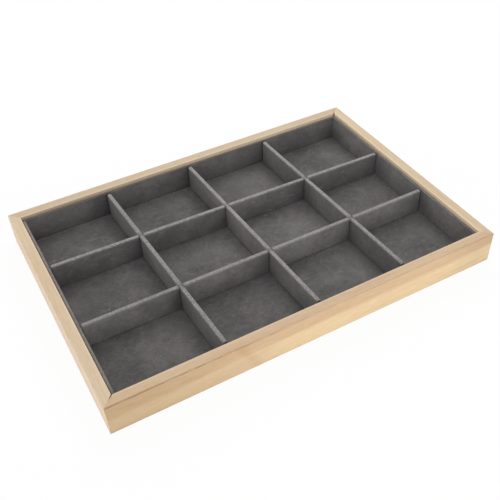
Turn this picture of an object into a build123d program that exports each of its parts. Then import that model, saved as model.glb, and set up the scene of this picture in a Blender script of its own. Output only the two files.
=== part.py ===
from build123d import *
import os
from math import cos, radians, sin, tan

# Jewelry display tray: a mitred wooden frame, a suede-covered insert that drops into it,
# and a lattice of slotted dividers that stands loose in the insert.
# Millimetres. The origin is the middle of the underside, X runs along the tray,
# the front is at -Y and Z is up.

# Frame
tray_length = 350.0
tray_depth = 240.0
tray_height = 30.0
rail_width = 9.0
rail_arris_radius = 0.6
frame_corner_radius = 0.9

# Base panel in the rebate under the rails
base_panel_thickness = 2.0
rebate_width = 4.5
base_panel_clearance = 0.2

# V-nails across the mitres
v_nail_leg = 3.4
v_nail_thickness = 0.5
v_nail_height = 10.0
v_nail_angle = 104.0

# Brads through the base panel
brad_shank_radius = 0.55
brad_head_radius = 0.95
brad_head_height = 0.5
brad_length = 10.0
brad_corner_margin = 28.0
front_brad_count = 4
side_brad_count = 3
nail_clearance = 0.05

# Suede and boards
suede_thickness = 0.4
insert_floor_thickness = 0.8
insert_wall_thickness = 1.4
insert_wall_edge_radius = 0.4
insert_gap = 0.6
insert_recess = 3.0

# Divider lattice
divider_board_thickness = 3.0
divider_board_edge_radius = 0.8
divider_end_gap = 1.0
slot_clearance = 0.3
short_divider_count = 3

# Each short divider stands this much further right of its equal share than the one before
short_divider_creep = 0.7

# The lattice stands slightly racked, in degrees anticlockwise seen from above
short_divider_skew = 2.65
front_divider_skew = 0.0
back_divider_skew = -1.2

# Levels
insert_floor = base_panel_thickness + insert_floor_thickness
lining_top = insert_floor + suede_thickness
insert_top = tray_height - insert_recess
board_top = insert_top - suede_thickness
wall_thickness = insert_wall_thickness + 2 * suede_thickness
halving_level = (lining_top + insert_top) / 2

# Insert in plan
insert_length = tray_length - 2 * (rail_width + insert_gap)
insert_depth = tray_depth - 2 * (rail_width + insert_gap)
inside_length = insert_length - 2 * wall_thickness
inside_depth = insert_depth - 2 * wall_thickness

# Dividers, the long ones named with their skews from the front
long_divider_skews = {"front": front_divider_skew, "back": back_divider_skew}
divider_thickness = divider_board_thickness + 2 * suede_thickness
divider_edge_radius = divider_board_edge_radius + suede_thickness
wall_cover_radius = insert_wall_edge_radius + suede_thickness

FRONT = 0
RIGHT = 90
BACK = 180
LEFT = 270
SIDES = {"front": FRONT, "right": RIGHT, "back": BACK, "left": LEFT}


def block(x_size, y_size, bottom, top):
    """A box centred in plan between two levels."""
    return Pos(0, 0, bottom) * Box(
        x_size, y_size, top - bottom, align=(Align.CENTER, Align.CENTER, Align.MIN)
    )


def side_length(angle, length, depth):
    """The outside length of the side that faces the given way."""
    return length if angle in (FRONT, BACK) else depth


def on_side(shape, angle, length, depth):
    """Move a bar whose outer face is on y = 0 to one side of a rectangle."""
    offset = (depth if angle in (FRONT, BACK) else length) / 2
    return Rot(0, 0, angle) * Pos(0, -offset, 0) * shape


def mitred_bar(section, length, width):
    """Run a section along X and mitre both ends, with the outer face on y = 0."""
    half = length / 2
    bar = extrude(Plane.YZ * section, amount=half, both=True)
    corners = [(-half, 0), (half, 0), (half - width, width), (width - half, width)]
    plan = Pos(0, 0, -tray_height) * make_face(Polyline(*corners, close=True))
    return bar & extrude(plan, amount=3 * tray_height)


def rail_section():
    """A rail's section: y inwards, z up, with the rebate at the bottom inside."""
    step = rail_width - rebate_width
    outline = make_face(
        Polyline(
            (0, 0),
            (step, 0),
            (step, base_panel_thickness),
            (rail_width, base_panel_thickness),
            (rail_width, tray_height),
            (0, tray_height),
            close=True,
        )
    )
    eased = [v for v in outline.vertices() if v.Y > tray_height / 2 or v.X < step / 2]
    return fillet(eased, rail_arris_radius)


def frame_outline():
    """The whole frame's outline in plan, with its corners slightly eased."""
    return extrude(
        RectangleRounded(tray_length, tray_depth, frame_corner_radius), amount=tray_height
    )


def v_nail(grow=0.0):
    """One V-nail: two legs from a point on the mitre, opening towards the inside."""
    legs = []
    for side in (-1, 1):
        leg = block(v_nail_leg + grow, v_nail_thickness + 2 * grow, 0, v_nail_height + grow)
        turned = Rot(0, 0, side * v_nail_angle / 2) * Pos((v_nail_leg + grow) / 2, 0, 0) * leg
        legs.append(turned)
    return legs[0] + legs[1]


def v_nails(grow=0.0):
    """The V-nails of all four mitres, standing on the rebate's ceiling."""
    # The point lies on the mitre, a leg's reach out from the middle of the rebate
    inset = rail_width - rebate_width / 2 - v_nail_leg * cos(radians(v_nail_angle / 2)) / 2
    nails = []
    for x_side in (-1, 1):
        for y_side in (-1, 1):
            inwards = Vector(-x_side, -y_side, 0)
            turn = Vector(1, 0, 0).get_signed_angle(inwards, Vector(0, 0, 1))
            x = x_side * (tray_length / 2 - inset)
            y = y_side * (tray_depth / 2 - inset)
            nails.append(Pos(x, y, base_panel_thickness) * Rot(0, 0, turn) * v_nail(grow))
    return nails


def brad(grow=0.0):
    """One brad, driven upwards, with its head flush with the panel's underside."""
    shank = Cylinder(
        brad_shank_radius + grow,
        brad_length + grow,
        align=(Align.CENTER, Align.CENTER, Align.MIN),
    )
    head = Cylinder(
        brad_head_radius + grow,
        brad_head_height + grow,
        align=(Align.CENTER, Align.CENTER, Align.MIN),
    )
    return shank + head


def spread(count, half_span):
    """Evenly spaced positions from one end of a span to the other."""
    return [half_span * (2 * i / (count - 1) - 1) for i in range(count)]


def brads(grow=0.0):
    """All the brads, along the middle of the rebate."""
    line = rail_width - rebate_width / 2
    placed = []
    for side in (-1, 1):
        for x in spread(front_brad_count, tray_length / 2 - brad_corner_margin):
            placed.append(Pos(x, side * (tray_depth / 2 - line), 0) * brad(grow))
        for y in spread(side_brad_count, tray_depth / 2 - brad_corner_margin):
            placed.append(Pos(side * (tray_length / 2 - line), y, 0) * brad(grow))
    return placed


def cut_nail_holes(shape):
    """Take the holes of the V-nails and brads out of a piece of the frame."""
    return shape - (v_nails(nail_clearance) + brads(nail_clearance))


def frame_rail(angle):
    """One rail of the frame."""
    length = side_length(angle, tray_length, tray_depth)
    bar = mitred_bar(rail_section(), length, rail_width)
    placed = on_side(bar, angle, tray_length, tray_depth)
    return cut_nail_holes(placed & frame_outline())


def base_panel():
    """The panel in the rebate, flush with the rails' underside."""
    margin = 2 * (rail_width - rebate_width + base_panel_clearance)
    panel = block(tray_length - margin, tray_depth - margin, 0, base_panel_thickness)
    return cut_nail_holes(panel)


def insert_floor_board():
    """The insert's floor board, inside the skirts of the wall covers."""
    margin = 2 * suede_thickness
    return block(
        insert_length - margin, insert_depth - margin, base_panel_thickness, insert_floor
    )


def insert_floor_lining():
    """The suede on the insert's floor, between the wall covers."""
    return block(inside_length, inside_depth, insert_floor, lining_top)


def top_rounded(width, bottom, top, radius, offset=0.0):
    """An upright rectangle in the section plane with its two top corners rounded."""
    height = top - bottom
    outline = Pos(offset, bottom) * Rectangle(width, height, align=(Align.MIN, Align.MIN))
    upper = outline.vertices().sort_by(Axis.Y)[-2:]
    return fillet(upper, radius)


def wall_board_section():
    """A wall board's section, behind the outer layer of its cover."""
    return top_rounded(
        insert_wall_thickness,
        insert_floor,
        board_top,
        insert_wall_edge_radius,
        suede_thickness,
    )


def wall_cover_section():
    """The suede over a wall: an outer skirt, the folded top and an inner skirt."""
    whole = top_rounded(wall_thickness, base_panel_thickness, insert_top, wall_cover_radius)
    under_board = Pos(suede_thickness, base_panel_thickness) * Rectangle(
        wall_thickness - suede_thickness, insert_floor_thickness, align=(Align.MIN, Align.MIN)
    )
    return whole - wall_board_section() - under_board


def insert_wall(section, angle, inset):
    """A wall board or its cover on one side of the insert."""
    length = side_length(angle, insert_length, insert_depth)
    bar = mitred_bar(section, length, inset)
    return on_side(bar, angle, insert_length, insert_depth)


def rounded_bar(length, thickness, bottom, top, radius):
    """A bar on edge along X with its top and its upright edges rounded."""
    bar = block(length, thickness, bottom, top)
    upright = bar.edges().filter_by(Axis.Z)
    around_top = bar.faces().sort_by(Axis.Z)[-1].edges()
    return fillet(upright + around_top, radius)


def divider_length(room, skew):
    """The longest divider that keeps the end gap when it stands at its skew."""
    turned = abs(radians(skew))
    return (room - 2 * divider_end_gap - divider_thickness * sin(turned)) / cos(turned)


def slot_width(skew_between):
    """A halving slot's width: the crossing divider, as it slants across, and clearance."""
    slant = abs(radians(skew_between))
    return divider_thickness * (1 / cos(slant) + tan(slant)) + 2 * slot_clearance


def meeting_point(short_x, long_y, long_skew):
    """Where a short divider's middle line crosses a long divider's, in plan."""
    short_slope = tan(radians(short_divider_skew))
    long_slope = tan(radians(long_skew))
    x = (short_x - short_slope * long_y) / (1 + short_slope * long_slope)
    return x, long_y + long_slope * x


def equal_shares(room, count):
    """The middles of dividers that share a room equally."""
    pitch = room / (count + 1)
    return [pitch * (i + 1) - room / 2 for i in range(count)]


def short_positions():
    """The middle of each short divider along X: its equal share and its creep."""
    shares = equal_shares(inside_length, short_divider_count)
    return [x + short_divider_creep * number for number, x in enumerate(shares, start=1)]


def long_dividers():
    """Name, middle along Y and skew of each long divider, from the front."""
    middles = equal_shares(inside_depth, len(long_divider_skews))
    return [(name, y, skew) for (name, skew), y in zip(long_divider_skews.items(), middles)]


def slots_in_long(long_y, long_skew):
    """Slots in a long divider, open at the top, in its own frame along X."""
    cuts = []
    width = slot_width(short_divider_skew - long_skew)
    for short_x in short_positions():
        x, _ = meeting_point(short_x, long_y, long_skew)
        along = x / cos(radians(long_skew))
        bottom = halving_level - slot_clearance
        cuts.append(Pos(along, 0, 0) * block(width, 2 * divider_thickness, bottom, tray_height))
    return cuts


def slots_in_short(short_x):
    """Slots in a short divider, open at the bottom, in its own frame along X."""
    cuts = []
    for _, long_y, long_skew in long_dividers():
        _, y = meeting_point(short_x, long_y, long_skew)
        along = y / cos(radians(short_divider_skew))
        width = slot_width(short_divider_skew - long_skew)
        cuts.append(Pos(along, 0, 0) * block(width, 2 * divider_thickness, 0, halving_level))
    return cuts


def divider(length, slots):
    """A divider's board and its suede cover, in its own frame along X."""
    board = rounded_bar(
        length - 2 * suede_thickness,
        divider_board_thickness,
        lining_top,
        board_top,
        divider_board_edge_radius,
    )
    cover = rounded_bar(length, divider_thickness, lining_top, insert_top, divider_edge_radius)
    return board - slots, cover - board - slots


def solids_of(shapes):
    """Separate solids kept together as one group."""
    return Compound(children=[solid for shape in shapes for solid in shape.solids()])


def tray():
    """Every piece of the tray by name."""
    pieces = {}
    for name, angle in SIDES.items():
        pieces[f"frame_rail_{name}"] = frame_rail(angle)
        pieces[f"insert_wall_{name}_board"] = insert_wall(
            wall_board_section(), angle, wall_thickness
        )
        pieces[f"insert_wall_{name}_suede"] = insert_wall(
            wall_cover_section(), angle, wall_thickness
        )
    pieces["base_panel"] = base_panel()
    pieces["mitre_v_nails"] = solids_of(v_nails())
    pieces["base_panel_brads"] = solids_of(brads())
    pieces["insert_floor_board"] = insert_floor_board()
    pieces["insert_floor_suede"] = insert_floor_lining()

    for name, long_y, skew in long_dividers():
        length = divider_length(inside_length, skew)
        place = Pos(0, long_y, 0) * Rot(0, 0, skew)
        board, cover = divider(length, slots_in_long(long_y, skew))
        pieces[f"long_divider_{name}_board"] = place * board
        pieces[f"long_divider_{name}_suede"] = place * cover

    length = divider_length(inside_depth, short_divider_skew)
    for number, short_x in enumerate(short_positions(), start=1):
        place = Pos(short_x, 0, 0) * Rot(0, 0, RIGHT + short_divider_skew)
        board, cover = divider(length, slots_in_short(short_x))
        pieces[f"short_divider_{number}_board"] = place * board
        pieces[f"short_divider_{number}_suede"] = place * cover
    return pieces


os.makedirs("parts", exist_ok=True)
for node, shape in tray().items():
    export_step(shape, f"parts/{node}.step")
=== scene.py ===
from math import ceil, cos, hypot, pi, radians, sin, tan

import bmesh
import bpy
from mathutils import Matrix, Vector, noise


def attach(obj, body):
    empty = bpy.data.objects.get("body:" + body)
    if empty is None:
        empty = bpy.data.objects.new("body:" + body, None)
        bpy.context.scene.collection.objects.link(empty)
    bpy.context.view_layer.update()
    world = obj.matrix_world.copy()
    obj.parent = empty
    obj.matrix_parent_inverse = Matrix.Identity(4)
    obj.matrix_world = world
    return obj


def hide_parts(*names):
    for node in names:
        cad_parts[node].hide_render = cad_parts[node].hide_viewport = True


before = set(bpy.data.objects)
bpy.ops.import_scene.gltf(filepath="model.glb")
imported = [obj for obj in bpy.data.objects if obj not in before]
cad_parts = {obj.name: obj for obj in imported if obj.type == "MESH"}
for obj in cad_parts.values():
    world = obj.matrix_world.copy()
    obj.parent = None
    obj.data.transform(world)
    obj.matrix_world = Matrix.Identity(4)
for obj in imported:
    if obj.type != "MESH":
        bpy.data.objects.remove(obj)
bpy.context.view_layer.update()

# Lengths are in millimetres and named as in the part's source
MM = 0.001
TRAY_LENGTH = 350.0
TRAY_DEPTH = 240.0
TRAY_HEIGHT = 30.0
RAIL_WIDTH = 9.0
RAIL_ARRIS = 0.6
FRAME_CORNER = 0.9
REBATE_WIDTH = 4.5
PANEL_THICKNESS = 2.0
SUEDE = 0.4
INSERT_FLOOR = 2.8
LINING_TOP = 3.2
INSERT_TOP = 27.0
WALL_THICKNESS = 2.2
WALL_RADIUS = 0.8
COVER_CORNER = 1.2
INSERT_LENGTH = 330.8
INSERT_DEPTH = 220.8
INSIDE_LENGTH = 326.4
INSIDE_DEPTH = 216.4
DIVIDER_THICKNESS = 3.8
DIVIDER_RADIUS = 1.2
DIVIDER_END_GAP = 1.0
HALVING_LEVEL = (LINING_TOP + INSERT_TOP) / 2
SHORT_SKEW = 2.65
SHORT_CREEP = 0.7
LONG_SKEWS = {"front": 0.0, "back": -1.2}
SHORT_COUNT = 3
SIDES = {"front": 0, "right": 90, "back": 180, "left": 270}

# The longest steps of the meshes' grids, and how far from a bar's ends its first stations stand
SECTION_STEP = 2.4
THICKNESS_STEP = 0.8
ARC_STEPS = 5
ARRIS_STEPS = 6
RAIL_STEP = 4.0
RAIL_ENDS = (0, 0.12, 0.35, 0.6, 0.9, 1.6, 3.0, 5.0)
WALL_STEP = 2.6
WALL_ENDS = (0, 0.3, 0.6, 0.9, 1.3, 2.0)
LINING_STEP = 3.2
TUCK_STOPS = (0.3, 0.6, 1.0)
SHARP_ANGLE = 35.0
# How near a point counts as lying on a face or at an edge
ON_FACE = 0.05
AT_EDGE = 0.01

# What the scene adds to the solids' shapes: how far each rail's two mitres have opened at their
# inner ends, and how uneven sanded wood and glued cloth are. Each wave is the size of a noise.
MITRE_OPENINGS = {
    "front": (0.95, 0.05), "right": (0.06, 0.45), "back": (0.50, 0.04), "left": (0.04, 0.75),
}
MITRE_GAP = 0.01
MITRE_TIGHT_SHARE = 0.55
MITRE_CURVE = 1.9
RAIL_END_DROP = 0.05
RAIL_DIP = 0.035
RAIL_DIP_WAVE = 38.0
RAIL_WEAR = 0.10
RAIL_WEAR_WAVE = 11.0
WALL_COVER_GAP = 0.02
WALL_LEAN = 0.16
WALL_LEAN_WAVE = 34.0
WALL_PILE = 0.05
WALL_PILE_WAVE = 5.0
WALL_CALM_END = 12.0
DIVIDER_PILE = 0.035
DIVIDER_PILE_WAVE = 4.5
DIVIDER_SWELL = 0.05
DIVIDER_SWELL_WAVE = 17.0
PILE_CLEARANCE = 0.12
TUCK = 0.7
TUCK_SHARE = 0.75
LINING_CLEARANCE = 0.06
LINING_EDGE = 0.5
LINING_EDGE_DROP = 0.26
LINING_DIP = 0.05
LINING_DIP_WAVE = 21.0
LINING_SEED = 3.1


# Meshes

def grid_lines(low, high, step, keep=()):
    """Rising positions from low to high, no further apart than step, through every one in keep."""
    stops = sorted({low, high, *(k for k in keep if low < k < high)})
    lines = [low]
    for a, b in zip(stops, stops[1:]):
        count = max(1, ceil((b - a) / step))
        lines += [a + (b - a) * i / count for i in range(1, count + 1)]
    return lines


def round_pairs(items):
    """Each item with the next one, and the last with the first."""
    return zip(items, items[1:] + items[:1])


def arc(centre, radius, start, turn, steps):
    """Points on an arc in the section plane, angles in degrees."""
    angles = [radians(start + turn * i / steps) for i in range(steps + 1)]
    return [(centre[0] + radius * cos(a), centre[1] + radius * sin(a)) for a in angles]


def filled(points, step):
    """A closed outline with points added where two are further apart than step."""
    out = []
    for (ay, az), (by, bz) in round_pairs(points):
        count = max(1, ceil(hypot(by - ay, bz - az) / step))
        out += [(ay + (by - ay) * i / count, az + (bz - az) * i / count) for i in range(count)]
    return out


def new_object(name, points, faces):
    """A mesh object from points in millimetres, smooth but for its sharp edges."""
    mesh = bpy.data.meshes.new(name)
    mesh.from_pydata([Vector(p) * MM for p in points], [], faces)
    work = bmesh.new()
    work.from_mesh(mesh)
    bmesh.ops.recalc_face_normals(work, faces=work.faces)
    for face in work.faces:
        face.smooth = True
    for edge in work.edges:
        if len(edge.link_faces) == 2 and edge.calc_face_angle() > radians(SHARP_ANGLE):
            edge.smooth = False
    work.to_mesh(mesh)
    work.free()
    obj = bpy.data.objects.new(name, mesh)
    bpy.context.scene.collection.objects.link(obj)
    return obj


def settle(obj, material, body, slot, *nodes):
    """Give a piece its material and its body, and hide the nodes that it stands for; slot is not
    used.
    """
    obj.data.materials.append(material)
    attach(obj, body)
    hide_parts(*nodes)


def swell(point, wave, seed):
    """Smooth noise from -1 to 1 at a point in millimetres."""
    return noise.noise(Vector(point) / wave + Vector((seed, 0.37 * seed, -0.71 * seed)))


def sweep(loop, shares, length, end_cut, caps):
    """Run a closed section along X between two mitred ends, with the outer face on y = 0.

    loop holds (y, z) points, shares where the stations are from 0 to 1, and end_cut(end, y)
    how far an end is cut back there. caps lists the end faces as indices into the loop.
    """
    points, faces, n = [], [], len(loop)
    for share in shares:
        for y, z in loop:
            low = -length / 2 + y + end_cut(0, y)
            high = length / 2 - y - end_cut(1, y)
            points.append((low + (high - low) * share, y, z))
    for s in range(len(shares) - 1):
        for i in range(n):
            j = (i + 1) % n
            faces.append((s * n + i, s * n + j, (s + 1) * n + j, (s + 1) * n + i))
    last = (len(shares) - 1) * n
    for cap in caps:
        faces.append(tuple(cap))
        faces.append(tuple(last + i for i in reversed(cap)))
    return points, faces


def by_side(angle, long_side, short_side):
    """What holds for the front and back sides, or for the left and right ones."""
    return long_side if angle in (0, 180) else short_side


def to_side(points, angle, length, depth):
    """Turn a bar's points to the side of a rectangle that faces the given way."""
    offset = by_side(angle, depth, length) / 2
    turn = Matrix.Rotation(radians(angle), 3, "Z")
    return [turn @ Vector((x, y - offset, z)) for x, y, z in points]


def end_weighted(length, near, step):
    """Shares of a length: the given distances from both ends, then even steps between."""
    ends = [d / length for d in near]
    middle = grid_lines(ends[-1], 1 - ends[-1], step / length)
    return ends[:-1] + middle + [1 - e for e in reversed(ends[:-1])]


# Rails

def rail_loop():
    """A rail's section, y inwards and z up, with eased arrises and the rebate."""
    r, w, h = RAIL_ARRIS, RAIL_WIDTH, TRAY_HEIGHT
    step = w - REBATE_WIDTH
    corners = (
        arc((r, r), r, 270, -90, ARC_STEPS)
        + arc((r, h - r), r, 180, -90, ARRIS_STEPS)
        + arc((w - r, h - r), r, 90, -90, ARRIS_STEPS)
        + [(w, PANEL_THICKNESS), (step, PANEL_THICKNESS), (step, 0)]
    )
    return filled(corners, SECTION_STEP)


def corner_eased(x, y, length, radius):
    """Round an outer corner in plan without moving the mitre."""
    reach = radius - (length / 2 - abs(x))
    inward = radius - y
    if reach <= 0 or inward <= 0:
        return x, y
    pull = max(reach, inward) / hypot(reach, inward)
    side = 1 if x > 0 else -1
    return side * (length / 2 - radius + reach * pull), radius - inward * pull


def build_rail(name, angle, openings, seed):
    """One rail: its mitres are not quite closed, and its faces are not quite flat."""
    length = by_side(angle, TRAY_LENGTH, TRAY_DEPTH)
    loop = rail_loop()

    def end_cut(end, y):
        # The mitre is tight outside and has opened a little at its inner end
        tight = RAIL_WIDTH * MITRE_TIGHT_SHARE
        inner = max(0.0, (y - tight) / (RAIL_WIDTH - tight))
        return MITRE_GAP + openings[end] * inner ** MITRE_CURVE

    shares = end_weighted(length, RAIL_ENDS, RAIL_STEP)
    points, faces = sweep(loop, shares, length, end_cut, [range(len(loop))])
    under_arris = RAIL_ARRIS + 2 * ON_FACE
    eased = []
    for index, (x, y, z) in enumerate(points):
        x, y = corner_eased(x, y, length, FRAME_CORNER)
        at_end = index < len(loop) or index >= len(points) - len(loop)
        if at_end and z > TRAY_HEIGHT / 2:
            z = min(z, TRAY_HEIGHT - RAIL_END_DROP)
        # Hand-sanded faces dip by a few hundredths, and never stand out of the square
        dip = RAIL_DIP * (1 + swell((x, 6 * y, 3 * z), RAIL_DIP_WAVE, seed)) / 2
        wear = RAIL_WEAR * max(0.0, swell((x, y, z), RAIL_WEAR_WAVE, seed + 5))
        if z > TRAY_HEIGHT - under_arris:
            z -= dip + (wear if y < under_arris else 0.0)
        if y < ON_FACE:
            y += dip
        eased.append((x, y, z))
    return new_object(name, to_side(eased, angle, TRAY_LENGTH, TRAY_DEPTH), faces)


# Suede covers

def cover_loop():
    """A wall cover's outer and inner lines: up the outside, over the top and down the inside."""
    r, w, shoulder = WALL_RADIUS, WALL_THICKNESS, INSERT_TOP - WALL_RADIUS

    def line(inset):
        rise = grid_lines(PANEL_THICKNESS, shoulder, SECTION_STEP)[:-1]
        fall = grid_lines(INSERT_FLOOR, shoulder, SECTION_STEP)[:-1]
        return (
            [(inset, z) for z in rise]
            + arc((r, shoulder), r - inset, 180, -90, ARC_STEPS)
            + arc((w - r, shoulder), r - inset, 90, -90, ARC_STEPS)
            + [(w - inset, z) for z in reversed(fall)]
        )

    return line(0), line(SUEDE)


def build_wall_cover(name, angle, seed):
    """The suede over one wall of the insert."""
    length = by_side(angle, INSERT_LENGTH, INSERT_DEPTH)
    outer, inner = cover_loop()
    n = len(outer)
    loop = outer + inner[::-1]
    caps = [(i, i + 1, 2 * n - 2 - i, 2 * n - 1 - i) for i in range(n - 1)]
    shares = end_weighted(length, WALL_ENDS, WALL_STEP)
    points, faces = sweep(loop, shares, length, lambda end, y: WALL_COVER_GAP, caps)
    moved = []
    for index, (x, y, z) in enumerate(points):
        away = min(1.0, (length / 2 - abs(x)) / WALL_CALM_END)
        up = max(0.0, (z - PANEL_THICKNESS) / (INSERT_TOP - PANEL_THICKNESS)) ** 2
        lean = WALL_LEAN * away * up * swell((x, 0, 0), WALL_LEAN_WAVE, seed)
        pile = WALL_PILE * away * swell((x, 3 * y, z), WALL_PILE_WAVE, seed + 3)
        if index % len(loop) < n:
            side = 1 if y > WALL_THICKNESS / 2 else -1
            y += side * pile
            z += min(0.0, pile) if z > INSERT_TOP - 2 * ON_FACE else 0.0
        x, y = corner_eased(x, y, length, COVER_CORNER)
        moved.append((x, y + lean, z))
    return new_object(name, to_side(moved, angle, INSERT_LENGTH, INSERT_DEPTH), faces)


def rounding(point, half_x, half_y, top, radius):
    """A box's surface point on the rounded box, and the way out of the surface there."""
    x, y, z = point
    core = Vector((
        max(-half_x + radius, min(half_x - radius, x)),
        max(-half_y + radius, min(half_y - radius, y)),
        min(z, top - radius),
    ))
    out = Vector(point) - core
    reach = max(abs(c) for c in out)
    out.normalize()
    return core + out * reach, out


def near_edge(low, high, radius):
    """Grid positions that make an even quarter round at both ends of a span."""
    offsets = [radius * (1 - tan(radians(a))) for a in (30, 15, 0)]
    return [low + o for o in offsets] + [high - o for o in offsets]


def box_faces(nx, ny, nz, index, skipped):
    """The quads of an open-bottomed box grid, without the cells in a slot."""
    faces = []

    def quad(*corners):
        faces.append([index(*corner) for corner in corners])

    for k in range(nz - 1):
        for i in range(nx - 1):
            if skipped(i, k):
                continue
            quad((i, 0, k), (i + 1, 0, k), (i + 1, 0, k + 1), (i, 0, k + 1))
            j = ny - 1
            quad((i + 1, j, k), (i, j, k), (i, j, k + 1), (i + 1, j, k + 1))
        for j in range(ny - 1):
            quad((0, j + 1, k), (0, j, k), (0, j, k + 1), (0, j + 1, k + 1))
            i = nx - 1
            quad((i, j, k), (i, j + 1, k), (i, j + 1, k + 1), (i, j, k + 1))
    k = nz - 1
    for i in range(nx - 1):
        if skipped(i, k - 1):
            continue
        for j in range(ny - 1):
            quad((i, j, k), (i + 1, j, k), (i + 1, j + 1, k), (i, j + 1, k))
    return faces


def build_divider_cover(name, length, slots, slot_low, slot_high, place, seed):
    """The suede over one divider, slotted between two levels at each (low, high) along it."""
    half_x, half_y, r = length / 2, DIVIDER_THICKNESS / 2, DIVIDER_RADIUS
    edges = [e for slot in slots for e in slot]
    xs = grid_lines(-half_x, half_x, SECTION_STEP, near_edge(-half_x, half_x, r) + edges)
    ys = grid_lines(-half_y, half_y, THICKNESS_STEP, near_edge(-half_y, half_y, r))
    shoulder = INSERT_TOP - r - AT_EDGE
    round_top = [z for z in near_edge(LINING_TOP, INSERT_TOP, r) if z > shoulder]
    tuck = [LINING_TOP + TUCK * share for share in TUCK_STOPS]
    levels = tuck + round_top + [slot_low, slot_high]
    zs = grid_lines(LINING_TOP, INSERT_TOP, SECTION_STEP, levels)

    def skipped(i, k):
        x, z = (xs[i] + xs[i + 1]) / 2, (zs[k] + zs[k + 1]) / 2
        return slot_low < z < slot_high and any(low < x < high for low, high in slots)

    outside, inside, known = [], [], {}

    def index(i, j, k):
        key = (i, j, k)
        if key not in known:
            on, out = rounding((xs[i], ys[j], zs[k]), half_x, half_y, INSERT_TOP, r)
            pile = DIVIDER_PILE * swell(on, DIVIDER_PILE_WAVE, seed)
            pile += DIVIDER_SWELL * swell(on, DIVIDER_SWELL_WAVE, seed + 2)
            low = max(0.0, 1 - (on.z - LINING_TOP) / TUCK)
            pile -= TUCK_SHARE * SUEDE * low ** 2
            known[key] = len(outside)
            outside.append(on + out * pile)
            inside.append(on - out * SUEDE)
        return known[key]

    faces = box_faces(len(xs), len(ys), len(zs), index, skipped)
    count = len(outside)
    edges_used = dict.fromkeys(pair for face in faces for pair in round_pairs(face))
    rim = [(b, a, count + a, count + b) for a, b in edges_used if (b, a) not in edges_used]
    faces += [tuple(count + v for v in reversed(face)) for face in faces] + rim
    points = [place @ p for p in outside + inside]
    return new_object(name, points, faces)


def divider_length(room, skew):
    """The longest divider that keeps the end gap when it stands at its skew."""
    turned = abs(radians(skew))
    return (room - 2 * DIVIDER_END_GAP - DIVIDER_THICKNESS * sin(turned)) / cos(turned)


def slot_width(skew_between):
    """A halving slot's width for the divider that slants across it; the pile almost fills it."""
    slant = abs(radians(skew_between))
    return DIVIDER_THICKNESS * (1 / cos(slant) + tan(slant)) + 2 * PILE_CLEARANCE


def equal_shares(room, count):
    """The middles of dividers that share a room equally."""
    return [room / (count + 1) * (i + 1) - room / 2 for i in range(count)]


def short_middles():
    """Where the short dividers stand: each a little further right of its equal share."""
    shares = equal_shares(INSIDE_LENGTH, SHORT_COUNT)
    return [x + SHORT_CREEP * number for number, x in enumerate(shares, start=1)]


def long_places():
    """Each long divider's name, its skew and where it stands."""
    shares = equal_shares(INSIDE_DEPTH, len(LONG_SKEWS))
    return [(name, skew, y) for (name, skew), y in zip(LONG_SKEWS.items(), shares)]


def crossing(short_x, long_y, long_skew):
    """Where two dividers' middle lines cross, along the short one and along the long one."""
    short_slope, long_slope = tan(radians(SHORT_SKEW)), tan(radians(long_skew))
    x = (short_x - short_slope * long_y) / (1 + short_slope * long_slope)
    y = long_y + long_slope * x
    return y / cos(radians(SHORT_SKEW)), x / cos(radians(long_skew))


def build_lining():
    """The suede on the insert's floor, hardly quilted by the glue under it."""
    half_x, half_y = INSIDE_LENGTH / 2 - LINING_CLEARANCE, INSIDE_DEPTH / 2 - LINING_CLEARANCE
    xs, ys = (
        grid_lines(-half, half, LINING_STEP, (LINING_EDGE - half, half - LINING_EDGE))
        for half in (half_x, half_y)
    )
    points = []
    for level in (LINING_TOP, INSERT_FLOOR):
        for y in ys:
            for x in xs:
                z = level
                if level == LINING_TOP:
                    at_edge = abs(x) > half_x - AT_EDGE or abs(y) > half_y - AT_EDGE
                    dip = LINING_DIP * swell((x, y, 0), LINING_DIP_WAVE, LINING_SEED)
                    dip = LINING_DIP + dip
                    z -= LINING_EDGE_DROP if at_edge else dip
                points.append((x, y, z))
    nx, ny = len(xs), len(ys)
    layer = nx * ny
    faces = []
    for j in range(ny - 1):
        for i in range(nx - 1):
            a = j * nx + i
            quad = (a, a + 1, a + nx + 1, a + nx)
            faces += [quad, tuple(layer + v for v in reversed(quad))]
    ring = (
        list(range(nx))
        + [j * nx + nx - 1 for j in range(1, ny)]
        + [(ny - 1) * nx + i for i in range(nx - 2, -1, -1)]
        + [j * nx for j in range(ny - 2, 0, -1)]
    )
    faces += [(b, a, layer + a, layer + b) for a, b in round_pairs(ring)]
    return new_object("insert_floor_lining", points, faces)


# Materials

class Nodes:
    """A node tree, with short calls for the nodes that recur."""

    def __init__(self, owner, output):
        owner.use_nodes = True
        self.tree = owner.node_tree
        self.tree.nodes.clear()
        self.output = self.tree.nodes.new(output)

    def join(self, socket, value):
        if isinstance(value, bpy.types.NodeSocket):
            self.tree.links.new(value, socket)
        elif isinstance(value, (tuple, list)) and socket.type == "RGBA":
            socket.default_value = (*value, 1.0)[:4]
        else:
            socket.default_value = value

    def add(self, kind, out, inputs, **settings):
        node = self.tree.nodes.new(kind)
        for key, value in settings.items():
            setattr(node, key, value)
        for key, value in inputs.items():
            self.join(node.inputs[key], value)
        return node.outputs[out]

    def show(self, surface):
        self.join(self.output.inputs["Surface"], surface)

    def math(self, operation, a, b=0.0):
        return self.add("ShaderNodeMath", 0, {0: a, 1: b}, operation=operation)

    def product(self, value, *others):
        for other in others:
            value = self.math("MULTIPLY", value, other)
        return value


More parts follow.
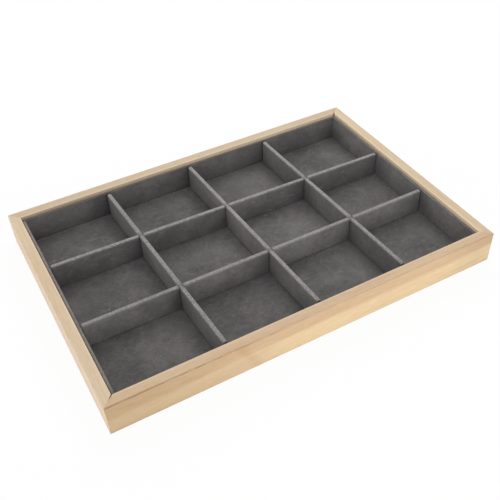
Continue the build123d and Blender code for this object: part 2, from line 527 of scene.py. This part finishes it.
class Finish(Nodes):
    """A material on its piece's own millimetres, turned about Z by some radians."""

    def __init__(self, name, turn=0.0):
        self.material = bpy.data.materials.new(name)
        super().__init__(self.material, "ShaderNodeOutputMaterial")
        self.shader = self.tree.nodes.new("ShaderNodeBsdfPrincipled")
        self.show(self.shader.outputs[0])
        metres = self.add("ShaderNodeTexCoord", "Object", {})
        self.place = self.scaled(metres, (1 / MM,) * 3, turn=turn)
        self.x, self.y, self.z = (self.axis(self.place, name) for name in "XYZ")

    def axis(self, vector, name):
        return self.add("ShaderNodeSeparateXYZ", name, {0: vector})

    def scaled(self, vector, scale, shift=(0, 0, 0), turn=0.0):
        inputs = {"Vector": vector, "Scale": scale, "Location": shift, "Rotation": (0, 0, turn)}
        return self.add("ShaderNodeMapping", 0, inputs)

    def noise(
        self, scale, shift=(0, 0, 0), turn=0.0, place=None,
        detail=2.0, roughness=0.5, distortion=0.0,
    ):
        """Noise. With a scale for each axis it is stretched, and can be shifted and turned."""
        vector, even = self.place if place is None else place, scale
        if isinstance(scale, tuple):
            vector, even = self.scaled(vector, scale, shift, turn), 1.0
        inputs = {
            "Vector": vector, "Scale": even, "Detail": detail,
            "Roughness": roughness, "Distortion": distortion,
        }
        return self.add("ShaderNodeTexNoise", 0, inputs)

    def band(self, value, low, high, to_low=0.0, to_high=1.0):
        """A smooth step of a value between two limits."""
        inputs = {0: value, 1: low, 2: high, 3: to_low, 4: to_high}
        return self.add(
            "ShaderNodeMapRange", 0, inputs, interpolation_type="SMOOTHSTEP", clamp=True
        )

    def window(self, value, rise, fall):
        """1 between two limits, with a smooth rise before and a smooth fall behind."""
        return self.product(self.band(value, *rise), self.band(value, *fall, 1.0, 0.0))

    def swing(self, value, reach):
        """A noise's swing about zero."""
        return self.product(self.math("SUBTRACT", value, 0.5), reach)

    def line(self, value, low, high):
        """A thin line where a noise is near its middle."""
        off = self.math("ABSOLUTE", self.math("SUBTRACT", value, 0.5))
        return self.band(off, low, high, 1.0, 0.0)

    def distance(self, a, b):
        """How far a point at (a, b) is from zero."""
        squares = self.math("ADD", self.product(a, a), self.product(b, b))
        return self.math("SQRT", squares)

    def lay(self, factor, base, over, blend="MIX"):
        """One colour laid over another."""
        inputs = {0: factor, 6: base, 7: over}
        return self.add("ShaderNodeMix", 2, inputs, data_type="RGBA", blend_type=blend)

    def coats(self, color, *coats):
        """Colours laid over the first in turn, each with its factor."""
        for factor, over in coats:
            color = self.lay(factor, color, over)
        return color

    def tints(self, color, *tints):
        """The colour multiplied by tints in turn, each with its factor."""
        for factor, tint in tints:
            color = self.lay(factor, color, tint, "MULTIPLY")
        return color

    def bump(self, height, depth, normal=None):
        """A bump of the given depth in millimetres."""
        inputs = {"Height": height, "Distance": depth * MM, "Strength": 1.0}
        if normal is not None:
            inputs["Normal"] = normal
        return self.add("ShaderNodeBump", 0, inputs)

    def finish(self, color, roughness, normal, **uniform):
        inputs = {"Base Color": color, "Roughness": roughness, "Normal": normal}
        inputs.update((key.replace("_", " "), value) for key, value in uniform.items())
        for key, value in inputs.items():
            self.join(self.shader.inputs[key], value)
        return self.material


# Each rail is its own stick of wood, so the front one is warmer than the others: two tones each
WOODS = {
    "front": ((0.655, 0.487, 0.321), (0.615, 0.440, 0.285)),
    "right": ((0.70, 0.570, 0.403), (0.67, 0.523, 0.362)),
    "back": ((0.655, 0.540, 0.392), (0.630, 0.497, 0.350)),
    "left": ((0.69, 0.547, 0.387), (0.66, 0.498, 0.343)),
}
# Where the tree's middle lay from each stick, in its section
PITHS = {"front": (-70, -35), "right": (-95, 90), "back": (-160, -20), "left": (-60, 70)}
PITH_DRIFT = 0.012
RING_WIDTH = 3.4
RING_WARP = 7.0

# Painted light on each rail's faces, as tints: top, outer, inner. The tops are darkened, and the
# faces the light falls on are brightened, the left rail's outer face most
NO_TINT = (1.0, 1.0, 1.0)
PAINTED_FACE_LIGHT = {
    "front": ((0.925, 0.912, 0.905), (1.05, 1.055, 1.04), NO_TINT),
    "right": ((0.915, 0.915, 0.90), NO_TINT, (1.12, 1.12, 1.09)),
    "back": ((0.875, 0.868, 0.862), NO_TINT, (1.03, 1.04, 1.03)),
    "left": ((0.945, 0.95, 0.935), (1.16, 1.21, 1.28), NO_TINT),
}

# A rail's material is turned with it, so both long rails lie at the front in their own frames
FRONT = -TRAY_DEPTH / 2
FRONT_INSIDE = FRONT + RAIL_WIDTH


def paint_face_light(f, color, outside, tints):
    """Paint light and shade on a rail's top, outer and inner faces, each with its own tint."""
    inside = RAIL_WIDTH - outside
    near, deep = 0.2, 0.5
    masks = (
        f.band(f.z, TRAY_HEIGHT - deep, TRAY_HEIGHT - near),
        f.band(f.y, near - outside, deep - outside, 1.0, 0.0),
        f.band(f.y, inside - deep, inside - near),
    )
    return f.tints(color, *(pair for pair in zip(masks, tints) if pair[1] != NO_TINT))


def wood(name, angle, tones, tints, pith, seed, accent=None):
    """Pale rail wood: growth rings round a pith line, fibres, pores and blotches, with painted
    light on its faces and a painted highlight along its inner arris.
    """
    f = Finish(name, radians(-angle))
    warp = f.swing(f.noise((0.010, 0.045, 0.045), (seed, 0, 0), detail=3), RING_WARP)
    across = f.math("ADD", f.math("SUBTRACT", f.y, pith[0]), f.product(f.x, PITH_DRIFT))
    radius = f.distance(across, f.math("SUBTRACT", f.z, pith[1]))
    ring = f.math("FRACT", f.math("DIVIDE", f.math("ADD", radius, warp), RING_WIDTH))
    patchy = f.band(f.noise((0.006, 0.05, 0.05), (0, seed, 3)), 0.35, 0.7)
    late = f.product(f.window(ring, (0.35, 0.93), (0.94, 1.0)), patchy)

    fibres = f.noise((0.045, 4.2, 4.2), (seed, 2, 0), detail=5, roughness=0.6)
    strands = f.noise((0.075, 1.15, 1.15), (seed, 4, 6), detail=4, roughness=0.7)
    pores = f.band(f.noise((0.32, 6.5, 6.5), (0, seed, 9)), 0.66, 0.74)
    blotch = f.noise((0.014, 0.07, 0.07), (seed, 7, 1), detail=3)
    fleck = f.noise((0.11, 0.5, 0.5), (seed, 1, 4), detail=4, roughness=0.6)

    color = f.coats(
        f.lay(f.band(blotch, 0.3, 0.7), *tones),
        (f.product(late, 0.24), (0.50, 0.345, 0.20)),
        (f.band(fibres, 0.25, 0.75, 0.0, 0.20), (0.50, 0.345, 0.21)),
        (f.band(strands, 0.51, 0.76, 0.0, 0.56), (0.46, 0.31, 0.185)),
        (f.band(strands, 0.22, 0.47, 0.40, 0.0), (0.80, 0.645, 0.47)),
        (f.band(fleck, 0.42, 0.72, 0.0, 0.24), (0.74, 0.56, 0.38)),
        (f.product(pores, 0.35), (0.33, 0.20, 0.11)),
    )
    outside = by_side(angle, TRAY_DEPTH, TRAY_LENGTH) / 2
    # Painted light and shade on the top, outer and inner faces
    color = paint_face_light(f, color, outside, tints)
    if accent:
        color = accent(f, color)

    # A painted highlight along the inner arris, and wear has paled the other arrises
    inside = RAIL_WIDTH - outside
    inner = f.product(
        f.band(f.y, inside - 2.6, inside - 0.4),
        f.band(f.z, TRAY_HEIGHT - 1.0, TRAY_HEIGHT - 0.4),
    )
    pointed = f.add("ShaderNodeNewGeometry", "Pointiness", {})
    worn = f.product(f.band(pointed, 0.52, 0.60), f.band(fleck, 0.3, 0.6, 0.15, 0.5))
    color = f.coats(
        color, (f.product(inner, 0.30), (0.80, 0.70, 0.55)), (worn, (0.78, 0.63, 0.46))
    )

    rough = f.math("ADD", f.band(fibres, 0.2, 0.8, 0.54, 0.68), f.product(pores, 0.15))
    normal = f.bump(fibres, 0.035)
    normal = f.bump(f.math("SUBTRACT", 1.0, pores), 0.04, normal)
    normal = f.bump(late, 0.02, normal)
    return f.finish(color, rough, normal, Specular_IOR_Level=0.22)


def open_mitre(f, color):
    """Dirt in the opened inner end of the mitre at a long rail's first end."""
    across = f.math("ADD", f.math("SUBTRACT", f.x, f.y), (TRAY_LENGTH - TRAY_DEPTH) / 2)
    beside = f.band(f.math("ABSOLUTE", across), 0.8, 2.1, 0.85, 0.0)
    inner = f.band(f.y, FRONT + RAIL_WIDTH * 0.5, FRONT + RAIL_WIDTH * 0.9)
    return f.tints(color, (f.product(inner, beside), (0.38, 0.29, 0.21)))


def back_accent(f, color):
    """The back rail: painted shade on its inner face above the insert, deepest at its left end,
    and the whole rail a little darker towards its left end.
    """
    inner = f.product(
        f.band(f.y, FRONT_INSIDE - 0.6, FRONT_INSIDE - 0.2),
        f.band(f.z, TRAY_HEIGHT - 1.2, TRAY_HEIGHT - 0.2, 1.0, 0.0),
    )
    # Painted shade on the inner face, deepest at the left end
    return f.tints(
        open_mitre(f, color),
        (f.product(inner, f.band(f.x, -130.0, 170.0, 0.0, 0.85)), (0.66, 0.63, 0.62)),
        (f.band(f.x, -20.0, 175.0, 0.0, 0.6), (0.94, 0.93, 0.94)),
    )


def front_accent(f, color):
    """The front rail's darker upper strip, its dark ends, a line of dirt and short streaks."""
    wavy = f.noise((0.02, 0.1, 0.1), (5, 5, 5), detail=3)
    level = f.math("ADD", f.math("ADD", f.z, f.swing(wavy, 6.0)), f.product(f.x, -0.008))
    face = f.band(f.y, FRONT + 0.5, FRONT + 1.1, 1.0, 0.0)
    strip = f.product(f.band(level, 15.0, 20.5), face)
    pale = f.band(f.math("ADD", f.x, f.product(wavy, 30.0)), -45.0, -5.0, 0.25, 1.0)
    lower = f.product(f.math("SUBTRACT", face, strip), pale)
    left_end = f.product(f.band(f.x, -175.0, -35.0, 1.0, 0.0), face)
    right_end = f.product(f.band(f.x, 120.0, 168.0), face)
    # Dirt has settled in the outer arris, in dashes, most at the left
    dashes = f.band(f.noise((0.09, 0.3, 0.3), (4, 4, 1), detail=3), 0.36, 0.56, 0.3, 1.0)
    edge = f.window(
        f.z, (TRAY_HEIGHT - 1.4, TRAY_HEIGHT - 0.9), (TRAY_HEIGHT - 0.5, TRAY_HEIGHT - 0.2)
    )
    edge = f.product(edge, f.band(f.x, -120.0, 30.0, 1.0, 0.0), dashes)
    color = f.tints(
        color,
        (lower, (1.14, 1.18, 1.12)),
        (strip, (0.92, 0.88, 0.84)),
        (left_end, (0.84, 0.83, 0.79)),
        (right_end, (0.86, 0.85, 0.85)),
        (edge, (0.50, 0.41, 0.32)),
    )
    lines = f.band(f.noise((0.012, 0.9, 0.9), (2, 8, 6), detail=3), 0.52, 0.68)
    lines = f.product(lines, f.band(f.x, -120.0, -60.0, 1.0, 0.0), strip, 0.5)
    leaning = f.math("ADD", f.x, f.product(f.z, 0.5))
    streak = f.product(f.window(leaning, (-62.0, -56.0), (-55.0, -47.0)), face, 0.5)
    return f.tints(
        open_mitre(f, color), (lines, (0.80, 0.74, 0.68)), (streak, (0.86, 0.80, 0.74))
    )


# Suede. The nap lies differently on each piece, and so do the tones and the folds: paler fibres
# with a painted sheen, or a painted shade on the folds that lie in shade
NAP_DARK = (0.0964, 0.0917, 0.0908)
NAP_PALE = (0.1968, 0.1862, 0.184)
NAP_RUBBED = (0.23, 0.222, 0.218)
FOLD = (0.346, 0.333, 0.328)
WARM_FOLD = (0.388, 0.322, 0.246)
PINK_FOLD = (0.352, 0.328, 0.332)
# A painted shade for the folds of the right and back walls, which lie in the rails' shade
PAINTED_SHADE_FOLD = (0.070, 0.067, 0.066)
WALL_SUEDES = {
    "front": dict(fold_strength=0.15),
    "right": dict(fold_strength=0.6, fold_color=PAINTED_SHADE_FOLD, tone=1.37),
    "back": dict(fold_strength=0.40, fold_color=PAINTED_SHADE_FOLD, tone=0.95, tilt=(0.055, 0.0)),
    "left": dict(fold_strength=0.42, fold_color=WARM_FOLD),
}
LONG_SUEDES = {
    "front": dict(fold_strength=0.625, fold_depth=0.9, tone=1.19, tilt=(0.015, 0.0), crease=0.8),
    "back": dict(fold_strength=0.78, fold_depth=0.9, tone=0.775, tilt=(0.02, 0.0), crease=0.5),
}
SHORT_SUEDES = (
    dict(fold_strength=0.70, tone=0.67, tilt=(0.0, 0.12), crease=0.18),
    dict(
        fold_strength=0.73, fold_color=PINK_FOLD, tone=0.96, tint=(1.018, 0.98, 1.0),
        tilt=(0.0, 0.08), crease=0.18,
    ),
    dict(fold_strength=0.74, tone=0.93, tilt=(0.0, 0.12), crease=0.4),
)
SHORT_CLUMPS = 0.60

# A painted pool of light: the tone is paler round a spot right of the middle
LIGHT_POOL = (35.0, -8.0)
LIGHT_POOL_REACH = (20.0, 90.0)
LIGHT_POOL_SHARE = 0.27
# How far up a normal points where a face turns from upright to lying, for the nap and for seams
NAP_LIE = (0.3, 0.8)
SEAM_LIE = (0.4, 0.7)
SHADE_REACH = 28.0
SHADE_DEPTH = 0.34
SEAM_CORE = 0.2
SEAM_DEPTH = 0.42
LINING_SEAM_DEPTH = 0.34
# The painted shade at the seams stops in the middle of the insert's walls, whose outer faces meet
# no divider
SEAM_LIMIT = (0.9, 1.3)


def seams(f, meets, reach):
    """How near a point is to where another piece stands against this one, 1 at the seam.

    The second value is the wide shade before it, on its left or front.
    """
    seam = shade = 0.0
    planes, shades = [], []
    if "long" in meets:
        planes += [(f.y, f.x, -tan(radians(skew)), y) for _, skew, y in long_places()]
        shades.append(f.band(f.y, INSIDE_DEPTH / 2 - SHADE_REACH, INSIDE_DEPTH / 2))
    if "short" in meets:
        planes += [(f.x, f.y, tan(radians(SHORT_SKEW)), x) for x in short_middles()]
        shades.append(f.band(f.x, INSIDE_LENGTH / 2 - SHADE_REACH, INSIDE_LENGTH / 2))
    half = DIVIDER_THICKNESS / 2
    for along, across, slope, middle in planes:
        signed = f.math("SUBTRACT", f.math("ADD", along, f.product(across, slope)), middle)
        near = f.band(f.math("ABSOLUTE", signed), half + SEAM_CORE, half + reach, 1.0, 0.0)
        seam = f.math("MAXIMUM", near, seam)
        shades.append(f.window(signed, (-half - SHADE_REACH, -half), (-half, half)))
    for each in shades:
        shade = f.math("MAXIMUM", each, shade)
    for axis, inside in ((f.x, INSIDE_LENGTH / 2), (f.y, INSIDE_DEPTH / 2)):
        limits = (inside + depth for depth in SEAM_LIMIT)
        within = f.band(f.math("ABSOLUTE", axis), *limits, 1.0, 0.0)
        seam, shade = f.product(seam, within), f.product(shade, within)
    return seam, shade


def brushed_nap(f, lying, clump, clumps):
    """How the nap lies, from dark to pale: clouds, clumps and the strokes of a hand."""
    patch = f.noise(0.034, detail=5, roughness=0.64, distortion=0.5)
    cloud = f.noise((0.011, 0.013, 0.02), (4.2, 1.7, 0.0), detail=1)
    strokes = []
    for turn, shift in ((32, 4.0), (-48, 11.0), (80, 23.0)):
        spun = f.scaled(f.place, (1, 1, 1), turn=radians(turn))
        strokes.append(f.noise(
            (0.045, 0.26, 0.10), (shift, -shift, shift), place=spun,
            detail=5, roughness=0.65, distortion=0.6,
        ))
    chosen = f.noise(0.045)
    nap = f.lay(f.band(chosen, 0.40, 0.5), strokes[0], strokes[1])
    nap = f.lay(f.band(chosen, 0.5, 0.60), nap, strokes[2])
    # The floor is brushed more than the upright faces
    brushed = f.band(lying, *NAP_LIE, 0.12, 0.36)
    shade = f.add("ShaderNodeMix", 0, {0: brushed, 2: patch, 3: nap}, data_type="FLOAT")
    shade = f.math("ADD", shade, f.swing(cloud, 0.40))
    return f.math("ADD", shade, f.swing(clump, clumps))


def nap_marks(f, lying, clump, worked):
    """What the nap has picked up: scuffs, thin lines, soft swipes and lint, with their colours."""
    scuff = f.band(f.noise((0.07, 0.62, 0.5), (2, 6, 3), 0.35, detail=3), 0.56, 0.70)
    scuff = f.product(scuff, f.band(clump, 0.42, 0.62), worked)
    flat = f.band(lying, *NAP_LIE, 0.3, 1.0)
    bent = f.noise((0.05, 0.07, 0.06), (7, 3, 1), distortion=0.4)
    sparse = f.band(f.noise((0.06,) * 3, (1, 9, 4)), 0.50, 0.60)
    mark = f.product(f.line(bent, 0.002, 0.012), sparse, flat)
    curved = f.noise((0.017, 0.021, 0.02), (3, 5, 8), detail=1, distortion=0.5)
    seldom = f.band(f.noise((0.03,) * 3, (8, 2, 6), detail=1), 0.44, 0.58)
    swipe = f.product(f.line(curved, 0.002, 0.019), seldom, flat)
    lint = f.band(f.noise((0.75, 0.42, 0.6), (6, 2, 8), 0.5, detail=1), 0.73, 0.80)
    lint = f.product(lint, f.band(lying, *NAP_LIE, 0.4, 1.0))
    return (
        (f.product(scuff, 0.42), NAP_RUBBED),
        (f.product(mark, 0.58), NAP_RUBBED),
        (f.product(swipe, 0.34), (0.215, 0.207, 0.203)),
        (f.product(lint, 0.55), (0.30, 0.29, 0.285)),
    )


def large_tints(f, tilt):
    """Tints across the whole piece: a painted pool of light, a slow change of hue, and a tilt.

    tilt holds how much the tone rises along X and along Y in 100 mm.
    """
    # Painted pool of light, paler towards one spot
    from_middle = (f.math("SUBTRACT", axis, at) for axis, at in zip((f.x, f.y), LIGHT_POOL))
    light_pool = f.band(f.distance(*from_middle), *LIGHT_POOL_REACH, LIGHT_POOL_SHARE, 0.0)
    hue = f.band(f.noise((0.022, 0.025, 0.03), (6, 4, 9)), 0.38, 0.62)
    hue = f.lay(hue, (1.014, 0.988, 1.003), (0.989, 1.007, 0.993))
    tints = [(light_pool, (2.0, 2.0, 2.0)), (1.0, hue)]
    if any(tilt):
        x, y = (f.product(axis, share / 100.0) for axis, share in zip((f.x, f.y), tilt))
        tints.append((1.0, f.math("ADD", 1.0, f.math("ADD", x, y))))
    return tints


def pale_fold_and_sheen(f, fine, depth):
    """The fold along the top is stretched, so its fibres part and look paler, unevenly; a painted
    sheen lies on the fold and its shoulder too.
    """
    ragged = f.noise((0.45, 0.45, 0.9), (3, 5, 7), detail=4, roughness=0.65)
    tuft = f.noise((0.8, 0.8, 0.8), (5, 2, 9), detail=3, roughness=0.7)
    high = f.math("ADD", f.z, f.swing(ragged, 2.1))
    fold = f.product(
        f.band(high, INSERT_TOP - depth, INSERT_TOP - 0.25),
        f.band(fine, 0.25, 0.75, 1.0, 0.62),
        f.band(ragged, 0.25, 0.70, 0.50, 1.20),
        f.band(tuft, 0.30, 0.70, 0.50, 1.36),
    )
    shoulder = f.band(high, INSERT_TOP - 3.0, INSERT_TOP - 0.6, 0.0, 0.26)
    return f.math("MAXIMUM", fold, shoulder)


def suede(
    name, meets=(), fold_strength=0.0, fold_depth=1.5, fold_color=FOLD, tone=1.0, tint=NO_TINT,
    tilt=(0.0, 0.0), crease=0.25, seam_reach=1.6, clumps=0.46,
):
    """Grey microfibre suede: cloudy brushed nap, stray marks, and paler on its folds."""
    f = Finish(name)
    lying = f.axis(f.add("ShaderNodeNewGeometry", "Normal", {}), "Z")
    clump = f.noise((0.15, 0.17, 0.20), (9, 2, 5), detail=4, roughness=0.7, distortion=0.9)
    shade = brushed_nap(f, lying, clump, clumps)
    worked = f.noise((0.05, 0.06, 0.06), (3, 8, 2), distortion=0.5)
    worked = f.band(worked, 0.40, 0.60, 0.62, 1.42)
    fine = f.noise(1.5, detail=5, roughness=0.72)
    grain = f.noise(0.62, detail=3, roughness=0.7)
    hair = f.noise((0.9, 3.8, 2.2), turn=0.7, detail=3)
    pits = f.band(f.noise((0.5, 0.62, 0.5), (8, 1, 2)), 0.66, 0.73)

    dark, pale = (
        tuple(tone * share * c for share, c in zip(tint, nap)) for nap in (NAP_DARK, NAP_PALE)
    )
    color = f.coats(
        f.lay(f.band(shade, 0.26, 0.72), dark, pale),
        (f.product(f.band(grain, 0.30, 0.70, 0.0, 0.31), worked), (0.064, 0.0615, 0.061)),
        (f.band(fine, 0.32, 0.68, 0.0, 0.43), (0.070, 0.0675, 0.067)),
        (f.product(pits, worked, 0.62), (0.045, 0.043, 0.043)),
        (f.band(hair, 0.5, 0.75, 0.0, 0.17), (0.22, 0.212, 0.208)),
        *nap_marks(f, lying, clump, worked),
    )
    color = f.tints(color, *large_tints(f, tilt))
    # The fold: paler parted fibres and a painted sheen, or a painted shade where its colour is
    # dark
    color = f.lay(f.product(pale_fold_and_sheen(f, fine, fold_depth), fold_strength), color, fold_color)

    # Painted shade where a cover meets the floor, and at the seams with other pieces
    uneven = f.band(f.noise(0.3, detail=3), 0.30, 0.62, 0.45, 1.0)
    low = f.band(f.z, LINING_TOP + 0.2, LINING_TOP + 1.2, 1.0, 0.0)
    shut = f.product(low, f.band(lying, *SEAM_LIE, crease, 0.0), uneven)
    if meets:
        seam, wide = seams(f, meets, seam_reach)
        upright = f.band(lying, *SEAM_LIE, SHADE_DEPTH, 0.0)
        # A wide painted shade on the upright faces before each seam
        color = f.lay(f.product(wide, upright), color, (0, 0, 0))
        depth = f.band(lying, *SEAM_LIE, SEAM_DEPTH, LINING_SEAM_DEPTH)
        shut = f.math("MAXIMUM", shut, f.product(seam, depth, uneven))
    color = f.lay(shut, color, (0.018, 0.017, 0.017))

    normal = f.bump(shade, 0.12)
    normal = f.bump(fine, 0.16, normal)
    normal = f.bump(hair, 0.05, normal)
    rough = f.band(shade, 0.3, 0.7, 0.92, 0.82)
    return f.finish(
        color, rough, normal,
        Specular_IOR_Level=0.15,
        Sheen_Weight=0.35,
        Sheen_Roughness=0.55,
        Sheen_Tint=(0.87, 0.84, 0.83),
    )


def greyboard():
    """Dense greyboard: matt, with darker and paler fibre specks."""
    f = Finish("greyboard")
    cloud = f.noise(0.08, detail=4)
    speck = f.noise(1.9, detail=4, roughness=0.7)
    dark = f.band(f.noise((0.8, 2.6, 2.6), (3, 1, 2)), 0.62, 0.72)
    color = f.coats(
        f.lay(f.band(cloud, 0.3, 0.7), (0.36, 0.345, 0.315), (0.43, 0.415, 0.385)),
        (f.band(speck, 0.35, 0.65, 0.0, 0.4), (0.30, 0.285, 0.26)),
        (f.product(dark, 0.5), (0.16, 0.15, 0.14)),
    )
    rough = f.band(speck, 0.3, 0.7, 0.82, 0.95)
    return f.finish(color, rough, f.bump(speck, 0.06), Specular_IOR_Level=0.3)


def panel_board():
    """The base panel: a plain brown fibreboard with a pressed face."""
    f = Finish("panel_board")
    cloud = f.noise(0.03, detail=4, roughness=0.6)
    fibre = f.noise((0.5, 1.6, 1.6), turn=0.4, detail=5, roughness=0.7)
    chips = f.add("ShaderNodeTexVoronoi", "Color", {"Vector": f.place, "Scale": 0.7})
    color = f.coats(
        f.lay(f.band(cloud, 0.3, 0.7), (0.47, 0.335, 0.215), (0.55, 0.40, 0.265)),
        (f.band(fibre, 0.35, 0.7, 0.0, 0.5), (0.38, 0.255, 0.155)),
        (f.product(f.axis(chips, "X"), 0.16), (0.66, 0.50, 0.35)),
    )
    rough = f.band(fibre, 0.3, 0.7, 0.55, 0.75)
    return f.finish(color, rough, f.bump(fibre, 0.05), Specular_IOR_Level=0.35)


def steel():
    """Bright drawn steel, with fine scratches and a few dull spots."""
    f = Finish("steel_bright")
    scratch = f.noise((14, 1.5, 14), turn=0.5, detail=3)
    dull = f.band(f.noise(1.3, detail=3), 0.4, 0.7)
    color = f.lay(dull, (0.62, 0.63, 0.64), (0.43, 0.42, 0.41))
    rough = f.band(scratch, 0.3, 0.7, 0.24, 0.42)
    return f.finish(color, rough, f.bump(scratch, 0.01), Metallic=1.0)


# The tray

def dress(node, material):
    """A CAD node keeps its shape and gets a finish."""
    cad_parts[node].data.materials.clear()
    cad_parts[node].data.materials.append(material)


def make_frame():
    """The four rails, the base panel and its nails."""
    accents = {"front": front_accent, "back": back_accent}
    for number, (side, angle) in enumerate(SIDES.items()):
        seed = 11.3 * number + 3.0
        grain = wood(
            f"rail_wood_{side}", angle, WOODS[side], PAINTED_FACE_LIGHT[side], PITHS[side], seed,
            accents.get(side),
        )
        rail = build_rail(f"rail_{side}", angle, MITRE_OPENINGS[side], 2.7 * number + 1.0)
        settle(rail, grain, "frame", "rail_wood", f"frame_rail_{side}")
    dress("base_panel", panel_board())
    bright = steel()
    dress("base_panel_brads", bright)
    dress("mitre_v_nails", bright)


def make_insert(board):
    """The insert's walls, with their covers, and its lined floor."""
    for number, (side, angle) in enumerate(SIDES.items()):
        cover = build_wall_cover(f"insert_cover_{side}", angle, 4.1 * number + 2.0)
        meets = by_side(angle, ("short",), ("long",))
        cloth = suede(f"suede_insert_{side}", meets, **WALL_SUEDES[side])
        settle(cover, cloth, "insert", "suede", f"insert_wall_{side}_suede")
        length = by_side(angle, INSERT_LENGTH, INSERT_DEPTH) * MM
        dress(f"insert_wall_{side}_board", board)
    lining = build_lining()
    cloth = suede("suede_insert_floor", ("long", "short"), tone=1.12, seam_reach=2.8)
    settle(lining, cloth, "insert", "suede", "insert_floor_suede")
    dress("insert_floor_board", board)


def make_divider(name, body, length, slots, levels, place, seed, cloth, board):
    """One divider: its cover over its board."""
    cover = build_divider_cover(f"{name}_cover", length, slots, *levels, place, seed)
    settle(cover, cloth, body, "suede", f"{name}_suede")
    dress(f"{name}_board", board)
    slot_area = sum(
        2 * (high - low) * (min(levels[1], INSERT_TOP) - max(levels[0], LINING_TOP))
        for low, high in slots
    )


def make_dividers(board):
    """The lattice: long dividers slotted from the top, short ones from the bottom."""
    short_xs = short_middles()
    for number, (name, skew, long_y) in enumerate(long_places()):
        half = slot_width(SHORT_SKEW - skew) / 2
        middles = [crossing(x, long_y, skew)[1] for x in short_xs]
        make_divider(
            f"long_divider_{name}",
            "long_dividers",
            divider_length(INSIDE_LENGTH, skew),
            [(m - half, m + half) for m in middles],
            (HALVING_LEVEL - PILE_CLEARANCE, TRAY_HEIGHT),
            Matrix.Translation((0, long_y, 0)) @ Matrix.Rotation(radians(skew), 4, "Z"),
            6.3 * number + 1.5,
            suede(f"suede_long_{name}", ("short",), **LONG_SUEDES[name]),
            board,
        )
    turn = Matrix.Rotation(radians(90 + SHORT_SKEW), 4, "Z")
    for number, (short_x, look) in enumerate(zip(short_xs, SHORT_SUEDES), start=1):
        slots = []
        for _, skew, long_y in long_places():
            half, middle = slot_width(SHORT_SKEW - skew) / 2, crossing(short_x, long_y, skew)[0]
            slots.append((middle - half, middle + half))
        make_divider(
            f"short_divider_{number}",
            f"short_divider_{number}",
            divider_length(INSIDE_DEPTH, SHORT_SKEW),
            slots,
            (0.0, HALVING_LEVEL),
            Matrix.Translation((short_x, 0, 0)) @ turn,
            5.9 * number + 20.0,
            suede(f"suede_short_{number}", ("long",), clumps=SHORT_CLUMPS, **look),
            board,
        )


# Studio, in metres

WHITE = (1.0, 1.0, 1.0)
ROOM_STRENGTH = 0.40
FLOOR_REACH = 6.0
FLOOR_LEVEL = -0.0002
FLOOR_COLOR = (0.86, 0.86, 0.86)
FLOOR_WHITE_SHARE = 0.945
LAMP_AIM = (0, 0, 0.015)
# Each soft box: its place, its size and its watts
LAMPS = {
    "high_right": ((0.45, 0.40, 0.95), 0.7, 4.0),
    "high_back": ((0.35, 0.85, 0.90), 0.7, 2.6),
    "back": ((0.0, 1.1, 0.75), 0.7, 3.6),
    "front": ((0.12, -0.95, 0.34), 0.5, 4.8),
    "left": ((-1.2, -0.1, 0.40), 0.6, 5.2),
}


def make_camera():
    """The camera at the photograph's place, with its lens and its small shift."""
    data = bpy.data.cameras.new("camera")
    data.sensor_width = 36.0
    data.lens = 51.730
    data.shift_x = -0.05
    data.shift_y = 0.024
    data.clip_start = 0.01
    camera = bpy.data.objects.new("camera", data)
    camera.location = (-0.2151267, -0.4271006, 0.4319917)
    camera.rotation_euler = [radians(a) for a in (46.8714455, 0.6730489, -30.3284295)]
    bpy.context.scene.collection.objects.link(camera)
    bpy.context.scene.camera = camera


def make_lamp(name, place, size, watts):
    """A square soft box that looks at the tray."""
    data = bpy.data.lights.new(name, "AREA")
    data.shape = "SQUARE"
    data.size = size
    data.energy = watts
    lamp = bpy.data.objects.new(name, data)
    lamp.location = place
    aim = Vector(LAMP_AIM) - Vector(place)
    lamp.rotation_euler = aim.to_track_quat("-Z", "Y").to_euler()
    bpy.context.scene.collection.objects.link(lamp)


def seen_rays(tree):
    """1 for the rays that see the background: straight, mirrored or through something clear."""
    seen = tree.add("ShaderNodeLightPath", "Is Camera Ray", {})
    for name in ("Is Glossy Ray", "Is Transmission Ray"):
        seen = tree.math("MAXIMUM", seen, tree.add("ShaderNodeLightPath", name, {}))
    return seen


def make_floor():
    """A plain floor that keeps the tray's soft shadow, nearly white where it is seen."""
    mesh = bpy.data.meshes.new("floor")
    r = FLOOR_REACH
    mesh.from_pydata([(-r, -r, 0), (r, -r, 0), (r, r, 0), (-r, r, 0)], [], [(0, 1, 2, 3)])
    floor = bpy.data.objects.new("floor", mesh)
    floor.location.z = FLOOR_LEVEL
    bpy.context.scene.collection.objects.link(floor)
    material = bpy.data.materials.new("floor_white")
    tree = Nodes(material, "ShaderNodeOutputMaterial")
    matt = tree.add("ShaderNodeBsdfDiffuse", 0, {"Color": FLOOR_COLOR})
    white = tree.add("ShaderNodeEmission", 0, {"Color": WHITE, "Strength": 1.0})
    share = tree.product(seen_rays(tree), FLOOR_WHITE_SHARE)
    tree.show(tree.add("ShaderNodeMixShader", 0, {0: share, 1: matt, 2: white}))
    mesh.materials.append(material)


def make_world():
    """An even white room, white where it is seen."""
    world = bpy.data.worlds.new("room")
    bpy.context.scene.world = world
    tree = Nodes(world, "ShaderNodeOutputWorld")
    soft = tree.add("ShaderNodeBackground", 0, {"Color": WHITE, "Strength": ROOM_STRENGTH})
    white = tree.add("ShaderNodeBackground", 0, {"Color": WHITE, "Strength": 1.0})
    tree.show(tree.add("ShaderNodeMixShader", 0, {0: seen_rays(tree), 1: soft, 2: white}))


def make_studio():
    """Camera, floor, room and soft boxes."""
    make_camera()
    make_floor()
    make_world()
    for name, (place, size, watts) in LAMPS.items():
        make_lamp(name, place, size, watts)
    bpy.context.scene.view_settings.view_transform = "Standard"


make_studio()
make_frame()
board_finish = greyboard()
make_insert(board_finish)
make_dividers(board_finish)
